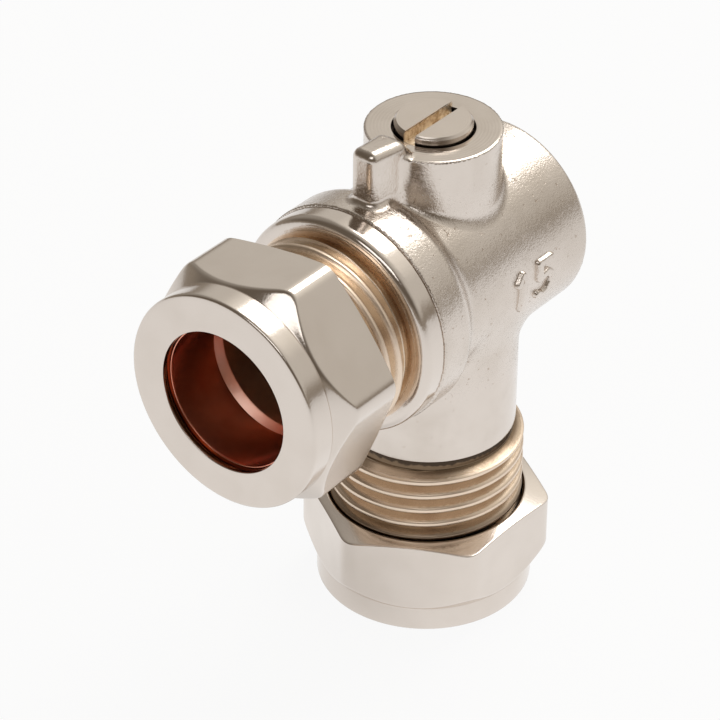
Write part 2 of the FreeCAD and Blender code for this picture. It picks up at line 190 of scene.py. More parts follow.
FORGING_HIGH = (12.8, 13.9, 19.0)
FORGING_CELL = 0.26

# Stem's head, its height counted from the ball's centre
HEAD_TOP = 17.15
HEAD_RING_PITCH = 0.25
DRIVER_SLOT_HALF = 0.72
DRIVER_SLOT_REACH = 3.9


class Wire:
    """One output of a node tree. Arithmetic on it adds Math nodes to that tree."""

    def __init__(self, tree, socket):
        self.tree = tree
        self.socket = socket

    def math(self, operation, *values):
        return self.tree.add("ShaderNodeMath", dict(enumerate(values)), operation=operation)

    def __add__(self, other):
        return self.math("ADD", self, other)

    def __radd__(self, other):
        return self.math("ADD", other, self)

    def __sub__(self, other):
        return self.math("SUBTRACT", self, other)

    def __rsub__(self, other):
        return self.math("SUBTRACT", other, self)

    def __mul__(self, other):
        return self.math("MULTIPLY", self, other)

    def __rmul__(self, other):
        return self.math("MULTIPLY", other, self)

    def __truediv__(self, other):
        return self.math("DIVIDE", self, other)

    def __rtruediv__(self, other):
        return self.math("DIVIDE", other, self)

    def __gt__(self, other):
        return self.math("GREATER_THAN", self, other)

    def __mod__(self, other):
        return self.math("FLOORED_MODULO", self, other)

    def __abs__(self):
        return self.math("ABSOLUTE", self)

    def most(self, other):
        return self.math("MAXIMUM", self, other)

    def soft_least(self, other, width):
        return self.math("SMOOTH_MIN", self, other, width)

    def soft_most(self, other, width):
        return self.math("SMOOTH_MAX", self, other, width)

    def cosine(self):
        return self.math("COSINE", self)

    def sine(self):
        return self.math("SINE", self)

    def root(self):
        return self.math("SQRT", self)

    def nearest(self):
        return self.math("ROUND", self)

    def reach(self, other):
        """Length of the slope whose two legs are these wires."""
        return (self * self + other * other).root()

    def step(self, low, high):
        """A soft step from 0 at low to 1 at high."""
        return self.tree.add("ShaderNodeMapRange", {"Value": self, "From Min": low, "From Max": high},
                             interpolation_type="SMOOTHSTEP")


class Tree:
    """A node tree with one way to add a node: its type, its settings, then what feeds its sockets."""

    def __init__(self, nodes):
        self.nodes = nodes

    def add(self, kind, sockets=None, output=0, **settings):
        node = self.nodes.nodes.new(kind)
        for name, value in settings.items():
            setattr(node, name, value)
        for name, value in (sockets or {}).items():
            self.feed(node.inputs[name], value)
        return Wire(self, node.outputs[output]) if node.outputs else None

    def feed(self, socket, value):
        if isinstance(value, Wire):
            self.nodes.links.new(value.socket, socket)
        else:
            socket.default_value = value

    def blend(self, share, first, second):
        """A colour that goes from the first to the second as share goes from 0 to 1."""
        return self.add("ShaderNodeMix", {0: share, 6: first, 7: second}, output=2, data_type="RGBA")

    def outputs(self, wire):
        """All the outputs of the node that a wire comes from."""
        return [Wire(self, socket) for socket in wire.socket.node.outputs]

    def parts(self, vector):
        """The three numbers of a vector."""
        return self.outputs(self.add("ShaderNodeSeparateXYZ", {"Vector": vector}))


def rgb(red, green, blue):
    return (red, green, blue, 1.0)


class Finish(Tree):
    """A material under construction. Its surface point is in millimetres."""

    def __init__(self, name):
        self.material = bpy.data.materials.new(name)
        self.material.use_nodes = True
        super().__init__(self.material.node_tree)
        self.nodes.nodes.clear()
        place = self.add("ShaderNodeTexCoord", output="Object")
        self.point = self.add("ShaderNodeVectorMath", {0: place, "Scale": 1 / MM}, operation="SCALE")
        self.x, self.y, self.z = self.parts(self.point)

    def noise(self, per_mm, detail=2.0, roughness=0.5):
        return self.add("ShaderNodeTexNoise", {
            "Vector": self.point, "Scale": per_mm, "Detail": detail, "Roughness": roughness})

    def bump(self, height, depth):
        """A relief of the surface: a height from 0 to 1, and its depth in millimetres."""
        return self.add("ShaderNodeBump", {"Height": height, "Strength": 1.0, "Distance": depth * MM})

    def about_port(self, port):
        """Distance from a port's axis, and height inwards from its nut's end face."""
        if port == "inlet":
            return self.x.reach(self.z - BALL_HEIGHT), self.y - INLET_FACE
        return self.x.reach(self.y), self.z - OUTLET_FACE

    def metal(self, colour, roughness, relief):
        return self.close("ShaderNodeBsdfPrincipled", {
            "Base Color": colour, "Roughness": roughness, "Metallic": 1.0, "Normal": relief})

    def close(self, kind, sockets):
        surface = self.add(kind, sockets)
        self.add("ShaderNodeOutputMaterial", {"Surface": surface})
        return self.material


# Finishes

NICKEL_LIGHT = rgb(0.745, 0.675, 0.615)
NICKEL_DULL = rgb(0.665, 0.595, 0.53)
THREAD_CREST = rgb(0.86, 0.71, 0.57)
CONNECTOR_BRONZE = rgb(0.77, 0.64, 0.51)
LEG_BRONZE = rgb(0.62, 0.49, 0.37)
BARE_BRASS = rgb(0.52, 0.36, 0.20)
# Bare brass inside the nut, darkened as painted shade.
BORE_BRASS_AND_SHADE = rgb(0.32, 0.22, 0.13)
# Near-black painted shade, for the recess round the stem's head and the groove under the leg's shoulder.
PAINTED_SHADE = rgb(0.05, 0.035, 0.025)
# Darker brown for the relief groove, and painted shade on the thread by the outlet nut.
DARK_RELIEF_AND_PAINTED_SHADE = rgb(0.2, 0.14, 0.09)
SLOT_BRASS = rgb(0.92, 0.81, 0.66)
STAINED_BRASS = rgb(0.42, 0.29, 0.2)
SOCKET_BROWN = rgb(0.66, 0.49, 0.37)
# Pink painted reflection of the copper olive, on the mouth of the socket.
PAINTED_COPPER_REFLECTION = rgb(0.9, 0.66, 0.56)
COPPER_LIGHT = rgb(0.93, 0.41, 0.29)
COPPER_DULL = rgb(0.86, 0.33, 0.22)
CHROME_LIGHT = rgb(0.66, 0.66, 0.67)
CHROME_DULL = rgb(0.58, 0.58, 0.59)
PTFE_LIGHT = rgb(0.86, 0.86, 0.84)
PTFE_DULL = rgb(0.80, 0.80, 0.78)
RUBBER_DARK = rgb(0.018, 0.018, 0.019)
RUBBER_WORN = rgb(0.035, 0.034, 0.033)


def forged_nickel():
    """Plating over a forged skin: orange peel, shallow pits and dull patches.

    The boss top is faced, and the recess round the stem's head is painted dark as shade.
    """
    finish = Finish("forged nickel")
    patches = finish.noise(0.16, detail=3.0)
    peel = finish.noise(0.8, detail=2.0)
    grain = finish.noise(4.2, detail=3.0, roughness=0.65)
    pits = finish.noise(1.3, detail=3.0, roughness=0.6).step(0.64, 0.73)
    over_ball = finish.z - BALL_HEIGHT
    off_stem = finish.x.reach(finish.y)
    faced = over_ball.step(BOSS_TOP - 0.2, BOSS_TOP - 0.1)
    faced = faced * (1 - over_ball.step(BOSS_TOP + 0.05, BOSS_TOP + 0.1))
    faced = faced * (1 - off_stem.step(BOSS_RADIUS - 0.15, BOSS_RADIUS - 0.05))
    recess = 1 - off_stem.step(RECESS_RADIUS + 0.04, RECESS_RADIUS + 0.1)
    rings = (off_stem * (FULL_TURN / FACING_RING_PITCH)).sine() * 0.5 + 0.5
    rough = 1 - faced
    above_leg = over_ball.step(-13, -10)
    on_boss = over_ball.step(11.5, 13)
    coarse = (above_leg * 0.75 + 0.25) * (1 - on_boss * 0.4)
    colour = finish.blend(patches.step(0.35, 0.75), NICKEL_LIGHT, NICKEL_DULL)
    colour = finish.blend(pits * rough * coarse * 0.5, colour, STAINED_BRASS)
    # Painted shade in the recess round the stem's head.
    colour = finish.blend(recess, colour, PAINTED_SHADE)
    speckle = grain.step(0.5, 0.68) * rough * coarse
    roughness = 0.11 + patches * 0.05 + speckle * 0.2 + recess * 0.3
    height = (peel * 0.45 + grain * 0.55 - pits * 0.35) * rough * coarse + rings * faced * 0.04
    return finish.metal(colour, roughness, finish.bump(height, depth=0.07))


def nut_nickel(port):
    """Plating over a turned nut: satin flats, faint clouding, and brass left bare inside, darkened as
    painted shade.
    """
    finish = Finish(f"{port} nut nickel")
    radius, depth = finish.about_port(port)
    clouds = finish.noise(0.2, detail=3.0)
    grain = finish.noise(4.0, detail=2.0)
    inside = depth.step(0.1, 0.2) * (1 - radius.step(NUT_THREAD_BORE + 0.1, NUT_THREAD_BORE + 0.25))
    colour = finish.blend(clouds.step(0.3, 0.8) * 0.5, NICKEL_LIGHT, NICKEL_DULL)
    # Bare brass inside the nut, darkened as painted shade.
    colour = finish.blend(inside, colour, BORE_BRASS_AND_SHADE)
    rings = (radius * (FULL_TURN / NUT_RING_PITCH)).sine()
    face = 1 - depth.step(0.02, 0.06)
    roughness = 0.11 + clouds * 0.04 + grain * 0.05
    return finish.metal(colour, roughness, finish.bump(grain + rings * face * 0.15, depth=0.005))


def thread_nickel(port, bronze, painted_nut_shade):
    """Thin plating on a cut thread: pale crests, and bronze between them.

    The relief groove is darker, and the thread by the nut gets painted shade from the nut, in the share
    that the last argument gives.
    """
    finish = Finish(f"{port} thread nickel")
    radius, depth = finish.about_port(port)
    clouds = finish.noise(0.35, detail=3.0)
    streaks = finish.noise(1.6, detail=2.0)
    crest = (radius + (streaks - 0.5) * 0.2).step(THREAD_RADIUS - 0.4, THREAD_RADIUS - 0.2)
    within = 1 - radius.step(MOUTH_EDGE_RADIUS - 0.35, MOUTH_EDGE_RADIUS - 0.05)
    deep = depth.step(SOCKET_MOUTH - 0.15, SOCKET_MOUTH + 0.1)
    colour = finish.blend(clouds.step(0.4, 0.9) * 0.5, bronze, STAINED_BRASS)
    colour = finish.blend(crest, colour, THREAD_CREST)
    # Painted shade on the thread right by the nut, as if the nut shaded it.
    by_nut = 1 - depth.step(NUT_LENGTH + 0.6, NUT_LENGTH + 1.3)
    colour = finish.blend(by_nut * painted_nut_shade, colour, DARK_RELIEF_AND_PAINTED_SHADE)
    flange = radius.step(THREAD_RADIUS + 0.1, THREAD_RADIUS + 0.3)
    colour = finish.blend(flange, colour, NICKEL_LIGHT)
    undercut = depth.step(LEG_THREAD_TOP - 0.4, LEG_THREAD_TOP - 0.1) * (1 - flange)
    colour = finish.blend(undercut, colour, DARK_RELIEF_AND_PAINTED_SHADE)
    # Painted shadow in the groove right under the leg's shoulder.
    shaded = (depth + (streaks - 0.5) * 0.8).step(LEG_SHOULDER - 0.6, LEG_SHOULDER - 0.4)
    colour = finish.blend(shaded * undercut * 0.9, colour, PAINTED_SHADE)
    # The socket's mouth takes a pink painted reflection of the copper olive; deeper in, the socket is
    # brown brass.
    bore = finish.blend(deep, PAINTED_COPPER_REFLECTION, SOCKET_BROWN)
    colour = finish.blend(within, colour, bore)
    roughness = 0.19 + streaks * 0.1 + within * 0.1 + crest * 0.1 - flange * 0.2
    return finish.metal(colour, roughness, finish.bump(streaks, depth=0.012))


def stem_nickel():
    """Plating on the turned head, and sawn brass in the driver slot."""
    finish = Finish("stem nickel")
    clouds = finish.noise(0.4, detail=3.0)
    saw = finish.noise(2.2, detail=4.0, roughness=0.7)
    off_axis = finish.x.reach(finish.y)
    sunk = 1 - finish.z.step(BALL_HEIGHT + HEAD_TOP - 0.2, BALL_HEIGHT + HEAD_TOP - 0.08)
    slot = sunk * (1 - abs(finish.x).step(DRIVER_SLOT_HALF, DRIVER_SLOT_HALF + 0.06))
    slot = slot * (1 - off_axis.step(DRIVER_SLOT_REACH, DRIVER_SLOT_REACH + 0.15))
    colour = finish.blend(clouds, NICKEL_LIGHT, NICKEL_DULL)
    sawn = finish.blend(saw.step(0.35, 0.7), SLOT_BRASS, BARE_BRASS)
    colour = finish.blend(slot, colour, sawn)
    rings = (off_axis * (FULL_TURN / HEAD_RING_PITCH)).sine() * (1 - slot)
    roughness = 0.17 + clouds * 0.08 + slot * 0.2
    return finish.metal(colour, roughness, finish.bump(saw * slot + rings * 0.03, depth=0.06))


def ball_chrome():
    finish = Finish("ball chrome")
    clouds = finish.noise(0.3, detail=3.0)
    colour = finish.blend(clouds, CHROME_LIGHT, CHROME_DULL)
    return finish.metal(colour, 0.08 + clouds * 0.08, finish.bump(clouds, depth=0.004))


def red_copper():
    finish = Finish("bright copper")
    clouds = finish.noise(0.3, detail=3.0)
    lines = finish.noise(4.0)
    colour = finish.blend(clouds.step(0.3, 0.7), COPPER_LIGHT, COPPER_DULL)
    return finish.metal(colour, 0.2 + clouds * 0.1, finish.bump(lines, depth=0.004))


def white_ptfe():
    finish = Finish("white seat ring")
    clouds = finish.noise(0.5, detail=3.0)
    colour = finish.blend(clouds, PTFE_LIGHT, PTFE_DULL)
    return finish.close("ShaderNodeBsdfPrincipled", {
        "Base Color": colour, "Roughness": 0.4 + clouds * 0.1, "Normal": finish.bump(clouds, depth=0.01)})


def black_rubber():
    finish = Finish("black rubber")
    grain = finish.noise(6.0, detail=3.0)
    colour = finish.blend(grain, RUBBER_DARK, RUBBER_WORN)
    return finish.close("ShaderNodeBsdfPrincipled", {
        "Base Color": colour, "Roughness": 0.5 + grain * 0.2, "Normal": finish.bump(grain, depth=0.01)})


# Turned pieces

LATHE_STEPS = 400
MERGE_REACH = 0.002
OUT_OF_REACH = 1000.0


def turned_piece_tree():
    """A lathe: an outline of radii and heights is turned about Z, held in a hexagon and threaded."""
    nodes = bpy.data.node_groups.new("turned piece", "GeometryNodeTree")
    nodes.interface.new_socket("Outline", in_out="INPUT", socket_type="NodeSocketGeometry")
    for name, kind in (("Steps", "Int"), ("Apothem", "Float"), ("Corner softness", "Float"),
                       ("Edge softness", "Float"), ("Turn", "Float"), ("Thread root", "Float"),
                       ("Thread start", "Float"), ("Thread end", "Float"), ("Finish", "Material")):
        nodes.interface.new_socket(name, in_out="INPUT", socket_type=f"NodeSocket{kind}")
    nodes.interface.new_socket("Piece", in_out="OUTPUT", socket_type="NodeSocketGeometry")
    tree = Tree(nodes)
    given = {wire.socket.name: wire for wire in tree.outputs(tree.add("NodeGroupInput"))}

    rows = tree.add("GeometryNodeAttributeDomainSize", {"Geometry": given["Outline"]}, component="CURVE")
    grid = tree.add("GeometryNodeMeshGrid", {
        "Size X": 1.0, "Size Y": 1.0, "Vertices X": given["Steps"] + 1, "Vertices Y": rows + 1})
    across, along, _ = tree.parts(tree.add("GeometryNodeInputPosition"))
    row = ((along + 0.5) * rows).nearest() % rows
    corner = tree.add("GeometryNodeSampleIndex", {
        "Geometry": given["Outline"], "Value": tree.add("GeometryNodeInputPosition"), "Index": row},
        data_type="FLOAT_VECTOR", domain="POINT")
    radius, _, height = tree.parts(corner)

    angle = (across + 0.5) * FULL_TURN
    sixth = FULL_TURN / 6
    sector = abs((angle - given["Turn"]) % sixth - sixth / 2)
    flat = given["Apothem"] / sector.cosine()
    next_flat = given["Apothem"] / (sixth - sector).cosine()
    hexagon = flat.soft_least(next_flat, given["Corner softness"])
    radius = radius.soft_least(hexagon, given["Edge softness"])

    turns = (height - given["Thread start"]) / THREAD_PITCH - angle / FULL_TURN
    from_groove = abs((turns + 0.5) % 1.0 - 0.5) * THREAD_PITCH
    flank = given["Thread root"] + (from_groove - THREAD_ROOT_HALF) / THREAD_FLANK
    groove = flank.soft_most(given["Thread root"], THREAD_SOFTNESS)
    groove = groove + (height > given["Thread end"]) * THREAD_RADIUS
    radius = radius.soft_least(groove, THREAD_SOFTNESS)

    place = tree.add("ShaderNodeCombineXYZ", {
        "X": radius * angle.cosine(), "Y": radius * angle.sine(), "Z": height})
    shaped = tree.add("GeometryNodeSetPosition", {"Geometry": grid, "Position": place})
    closed = tree.add("GeometryNodeMergeByDistance", {"Geometry": shaped, "Distance": MERGE_REACH})
    smooth = tree.add("GeometryNodeSetShadeSmooth", {"Geometry": closed})
    real = tree.add("GeometryNodeRealizeInstances", {"Geometry": smooth})
    finished = tree.add("GeometryNodeSetMaterial", {"Geometry": real, "Material": given["Finish"]})
    tree.add("NodeGroupOutput", {"Piece": finished})
    return nodes


def rounded(corners, spacing):
    """A closed outline from corners (radius, height, rounding): arcs at the corners, even points between.

    A fourth number spaces the points of the run that follows its corner.
    """
    arc_steps = 4
    most_of_run = 0.45
    points = []
    for index, (radius, height, rounding, *run) in enumerate(corners):
        here = Vector((radius, height))
        back = Vector(corners[index - 1][:2]) - here
        ahead = Vector(corners[(index + 1) % len(corners)][:2]) - here
        half = back.angle(ahead) / 2
        leg = min(rounding / math.tan(half), most_of_run * back.length, most_of_run * ahead.length)
        first = here + back.normalized() * leg
        last = here + ahead.normalized() * leg
        if points:
            points += between(points[-1], first, last_run)
        last_run = run[0] if run else spacing
        for step in range(arc_steps + 1):
            share = step / arc_steps
            points.append(first.lerp(here, share).lerp(here.lerp(last, share), share))
    return points + between(points[-1], points[0], last_run)


def between(first, last, spacing):
    count = int((last - first).length / spacing)
    return [first.lerp(last, (step + 1) / (count + 1)) for step in range(count)]


def turn_piece(name, corners, finish, place, spacing, **sizes):
    """Turn an outline into a mesh with the lathe, and move it to its place."""
    outline = bpy.data.curves.new(name, "CURVE")
    outline.dimensions = "3D"
    spline = outline.splines.new("POLY")
    points = rounded(corners, spacing)
    spline.points.add(len(points) - 1)
    for point, (radius, height) in zip(spline.points, points):
        point.co = (radius, 0.0, height, 1.0)
    spline.use_cyclic_u = True
    blank = bpy.data.objects.new(f"{name}_outline", outline)
    bpy.context.scene.collection.objects.link(blank)
    lathe = blank.modifiers.new("lathe", "NODES")
    lathe.node_group = LATHE
    values = NO_FLATS | NO_THREAD | {"Steps": LATHE_STEPS, "Finish": finish} | sizes
    for item in LATHE.interface.items_tree:
        if item.name in values:
            lathe[item.identifier] = values[item.name]
    depsgraph = bpy.context.evaluated_depsgraph_get()
    mesh = bpy.data.meshes.new_from_object(blank.evaluated_get(depsgraph), depsgraph=depsgraph)
    bpy.data.objects.remove(blank)
    mesh.transform(place)
    face_outwards(mesh)
    return add_piece(name, mesh)


def face_outwards(mesh):
    shape = bmesh.new()
    shape.from_mesh(mesh)
    bmesh.ops.recalc_face_normals(shape, faces=shape.faces)
    shape.to_mesh(mesh)
    shape.free()


def add_piece(name, mesh):
    piece = bpy.data.objects.new(name, mesh)
    bpy.context.scene.collection.objects.link(piece)
    return piece


LATHE = turned_piece_tree()
NO_FLATS = {"Apothem": OUT_OF_REACH, "Corner softness": 0.0, "Edge softness": 0.0, "Turn": 0.0}
NO_THREAD = {"Thread root": OUT_OF_REACH, "Thread start": 0.0, "Thread end": 0.0}
AT_OUTLET = Matrix.Scale(MM, 4) @ Matrix.Translation((0, 0, OUTLET_FACE))
AT_INLET = (Matrix.Scale(MM, 4) @ Matrix.Translation((0, INLET_FACE, BALL_HEIGHT))
            @ Matrix.Rotation(math.radians(-90), 4, "X"))


def make_nut(port, place, turn):
    edge = NUT_EDGE
    cone_top = NUT_LIP + NUT_CONE_RADIUS - NUT_MOUTH_RADIUS
    corners = [
        (NUT_MOUTH_RADIUS, 0.0, NUT_MOUTH_EDGE),
        (NUT_NOSE_RADIUS, 0.0, NUT_NOSE_EDGE),
        (NUT_NOSE_RADIUS, NUT_NOSE_LENGTH - NUT_NECK_LENGTH, NUT_NECK_EDGE),
        (NUT_NOSE_RADIUS - NUT_NECK_DEPTH, NUT_NOSE_LENGTH - NUT_NECK_BOTTOM, NUT_NECK_EDGE,
         NUT_FRONT_SPACING),
        (NUT_CORNER_RADIUS, NUT_NOSE_LENGTH + NUT_FRONT_CHAMFER, edge),
        (NUT_CORNER_RADIUS, NUT_LENGTH - NUT_BACK_CHAMFER, edge, NUT_BACK_SPACING),
        (NUT_BACK_RADIUS, NUT_LENGTH, edge),
        (NUT_THREAD_BORE + NUT_BORE_BREAK, NUT_LENGTH, edge),
        (NUT_THREAD_BORE, NUT_LENGTH - NUT_BORE_BREAK, edge),
        (NUT_THREAD_BORE, NUT_THREAD_START + NUT_THREAD_BORE - NUT_CONE_RADIUS, edge),
        (NUT_CONE_RADIUS, NUT_THREAD_START, edge),
        (NUT_CONE_RADIUS, cone_top, edge),
        (NUT_MOUTH_RADIUS, NUT_LIP, edge),
    ]
    sizes = {"Apothem": NUT_APOTHEM, "Corner softness": NUT_CORNER_SOFTNESS,
             "Edge softness": NUT_EDGE_SOFTNESS, "Turn": turn, "Steps": NUT_STEPS}
    nut = turn_piece(f"{port}_nut_turned", corners, nut_nickel(port), place, NUT_SPACING, **sizes)
    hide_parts(f"{port}_nut")
    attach(nut, f"{port}_cap")


def port_mouth():
    """The corners of a port's mouth, from its socket to the first crest of its thread."""
    return [
        (SOCKET_RADIUS, SOCKET_MOUTH, PORT_EDGE),
        (MOUTH_RADIUS, PORT_MOUTH, PORT_EDGE),
        (MOUTH_EDGE_RADIUS, PORT_MOUTH, PORT_EDGE),
        (THREAD_RADIUS, PORT_MOUTH + THREAD_RADIUS - MOUTH_EDGE_RADIUS, PORT_EDGE),
    ]


def port_bore(end):
    """The corners of a port's bore, from its far end back to the pipe stop."""
    return [
        (WATERWAY_RADIUS, end, TURNED_EDGE, HIDDEN_SPACING),
        (WATERWAY_RADIUS, PIPE_STOP, TURNED_EDGE, HIDDEN_SPACING),
        (SOCKET_RADIUS, PIPE_STOP, TURNED_EDGE, HIDDEN_SPACING),
    ]


def make_outlet_thread():
    corners = port_mouth() + [
        (THREAD_RADIUS, LEG_THREAD_TOP - THREAD_RUN_IN, TURNED_EDGE),
        (RELIEF_RADIUS, LEG_THREAD_TOP, RELIEF_FOOT),
        (RELIEF_RADIUS, SLEEVE_TOP, SLEEVE_EDGE, HIDDEN_SPACING),
    ] + port_bore(SLEEVE_TOP)
    sizes = {"Thread root": THREAD_ROOT, "Thread start": PORT_MOUTH - THREAD_PITCH,
             "Thread end": LEG_THREAD_TOP}
    # The outlet thread by its nut gets painted shade.
    finish = thread_nickel("outlet", LEG_BRONZE, painted_nut_shade=0.7)
    sleeve = turn_piece("outlet_thread", corners, finish, AT_OUTLET, LEG_SPACING, **sizes)
    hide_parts("valve_body")
    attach(sleeve, "valve")


def make_connector():
    corners = port_mouth() + [
        (THREAD_RADIUS, CONNECTOR_THREAD_END - THREAD_RUN_IN, TURNED_EDGE),
        (RELIEF_RADIUS, CONNECTOR_THREAD_END, TURNED_EDGE),
        (RELIEF_RADIUS, FLANGE_FACE, FLANGE_FOOT_ROUND),
        (FLANGE_RADIUS, FLANGE_FACE, FLANGE_FRONT_ROUND),
        (FLANGE_RADIUS, FLANGE_BACK, SEAM_EDGE, HIDDEN_SPACING),
        (SPIGOT_RADIUS, FLANGE_BACK, TURNED_EDGE, HIDDEN_SPACING),
        (SPIGOT_RADIUS, SPIGOT_END, TURNED_EDGE, HIDDEN_SPACING),
    ] + port_bore(SPIGOT_END)
    sizes = {"Thread root": THREAD_ROOT, "Thread start": PORT_MOUTH - THREAD_PITCH,
             "Thread end": CONNECTOR_THREAD_END}
    finish = thread_nickel("inlet", CONNECTOR_BRONZE, painted_nut_shade=0.0)
    connector = turn_piece("end_connector_turned", corners, finish, AT_INLET, CONNECTOR_SPACING, **sizes)
    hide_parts("end_connector")
    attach(connector, "valve")


def make_olive(port, place, finish):
    corners = [
        (OLIVE_BORE, OLIVE_START, OLIVE_EDGE),
        (OLIVE_EDGE_RADIUS, OLIVE_START, OLIVE_EDGE),
        (OLIVE_CROWN_RADIUS, OLIVE_START + OLIVE_TAPER, OLIVE_CROWN_ROUND),
        (OLIVE_CROWN_RADIUS, OLIVE_END - OLIVE_TAPER, OLIVE_CROWN_ROUND),
        (OLIVE_EDGE_RADIUS, OLIVE_END, OLIVE_EDGE),
        (OLIVE_BORE, OLIVE_END, OLIVE_EDGE),
    ]
    olive = turn_piece(f"{port}_olive_turned", corners, finish, place, OLIVE_SPACING, Steps=OLIVE_STEPS)
    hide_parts(f"{port}_olive")
    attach(olive, f"{port}_ring")


# Forging

def rounded_join(first, second, radius):
    """Two solids as one, with a fillet of this radius in the corner between them."""
    into_first = np.maximum(radius - first, 0)
    into_second = np.maximum(radius - second, 0)
    return np.maximum(radius, np.minimum(first, second)) - np.hypot(into_first, into_second)


def rounded_cut(first, second, radius):
    """What two solids share, with the edge between them rounded to this radius."""
    past_first = np.maximum(first + radius, 0)
    past_second = np.maximum(second + radius, 0)
    return np.minimum(-radius, np.maximum(first, second)) + np.hypot(past_first, past_second)


SIZE_MARK_ANGLE = math.radians(92)
SIZE_MARK_START = 1.6
SIZE_MARK_HEIGHT = 0.42
SIZE_MARK_STROKE = 0.38
SIZE_MARK_DRAFT = 0.35
SIZE_MARK_SUNK = 0.3
SIZE_MARK_STEP = 3.8
SIZE_MARK_ROUND = 0.15
SIZE_MARK_LOW = (8.5, -0.6, -4.3)
SIZE_MARK_HIGH = (11.5, 8.4, 3.6)
SIZE_MARK_CELL = 0.1
SIZE_MARK = [
    [(-0.75, 1.25), (0.0, 2.0), (0.0, -2.0)],
    [(1.0, 2.0), (-0.85, 2.0), (-0.95, 0.35), (0.25, 0.6), (1.0, 0.05), (1.1, -0.8), (0.6, -1.75),
     (-0.3, -2.05), (-1.05, -1.65)],
]


def size_mark(x, y, z):
    """Distance from the pipe size that is raised on the side of the barrel."""
    off_barrel = np.hypot(x, z) - BARREL_RADIUS
    up = (SIZE_MARK_ANGLE - np.arctan2(x, z)) * BARREL_RADIUS
    strokes = np.full_like(x, OUT_OF_REACH)
    for place, figure in enumerate(SIZE_MARK):
        along = y - SIZE_MARK_START - place * SIZE_MARK_STEP
        for (from_u, from_w), (to_u, to_w) in zip(figure, figure[1:]):
            run_u, run_w = to_u - from_u, to_w - from_w
            share = ((along - from_u) * run_u + (up - from_w) * run_w) / (run_u ** 2 + run_w ** 2)
            share = np.clip(share, 0, 1)
            off = np.hypot(along - from_u - share * run_u, up - from_w - share * run_w)
            strokes = np.minimum(strokes, off)
    raised = rounded_cut(strokes - SIZE_MARK_STROKE - SIZE_MARK_DRAFT * (SIZE_MARK_HEIGHT - off_barrel),
                         off_barrel - SIZE_MARK_HEIGHT, SIZE_MARK_ROUND)
    return np.maximum(raised, -SIZE_MARK_SUNK - off_barrel)


def forging(x, y, z):
    """Distance from the skin of the forging, less than zero inside. The ball's centre is the origin."""
    off_barrel = np.hypot(x, z) - BARREL_RADIUS
    off_stem = np.hypot(x, y)
    barrel = rounded_cut(off_barrel, y - BARREL_END, BARREL_END_ROUND)
    leg = np.maximum(rounded_cut(off_stem - LEG_RADIUS, -LEG_END - z, LEG_EDGE), z)
    boss = np.maximum(rounded_cut(off_stem - BOSS_RADIUS, z - BOSS_TOP, BOSS_EDGE), -z)
    collar = rounded_cut(off_barrel + BARREL_RADIUS - COLLAR_RADIUS, y + COLLAR_BACK, COLLAR_ROUND)
    outward = (-y - LUG_ROOT) / (LUG_REACH - LUG_ROOT)
    half = LUG_ROOT_HALF + (LUG_NOSE_HALF - LUG_ROOT_HALF) * outward
    lug = rounded_cut(abs(x + LUG_OFFSET) - half, -LUG_REACH - y, LUG_EDGE)
    lug = rounded_cut(lug, z - LUG_TOP + LUG_SLOPE * (y + LUG_REACH), LUG_TOP_ROUND)
    lug = np.maximum(rounded_cut(lug, y + LUG_BACK, LUG_BACK_ROUND), -z)
    skin = rounded_join(barrel, leg, LEG_FILLET)
    skin = rounded_join(skin, boss, BOSS_FILLET)
    skin = rounded_join(skin, collar, COLLAR_FILLET)
    return rounded_join(skin, lug, LUG_FILLET)


def bored_forging(x, y, z):
    """The forging with its seam face, chamber, waterway and stem bore cut."""
    off_axis = np.hypot(x, z)
    off_stem = np.hypot(x, y)
    skin = rounded_cut(forging(x, y, z), -FLANGE_SEAM - y, SEAM_EDGE)
    chamber = np.maximum(off_axis - CHAMBER_RADIUS, abs(y) - CHAMBER_REACH)
    spigot = np.maximum(off_axis - SPIGOT_BORE, y + CHAMBER_REACH)
    waterway = np.maximum(off_stem - WATERWAY_RADIUS, z)
    shoulder = np.maximum(off_stem - SHOULDER_BORE, abs(z - SHOULDER_TOP / 2) - SHOULDER_TOP / 2)
    stem = np.maximum(off_stem - STEM_BORE, -z)
    pocket = np.maximum(off_stem - POCKET_RADIUS, FACING_FOOT - z)
    for bore in (chamber, spigot, waterway, shoulder, stem, pocket):
        skin = np.maximum(skin, -bore)
    return skin


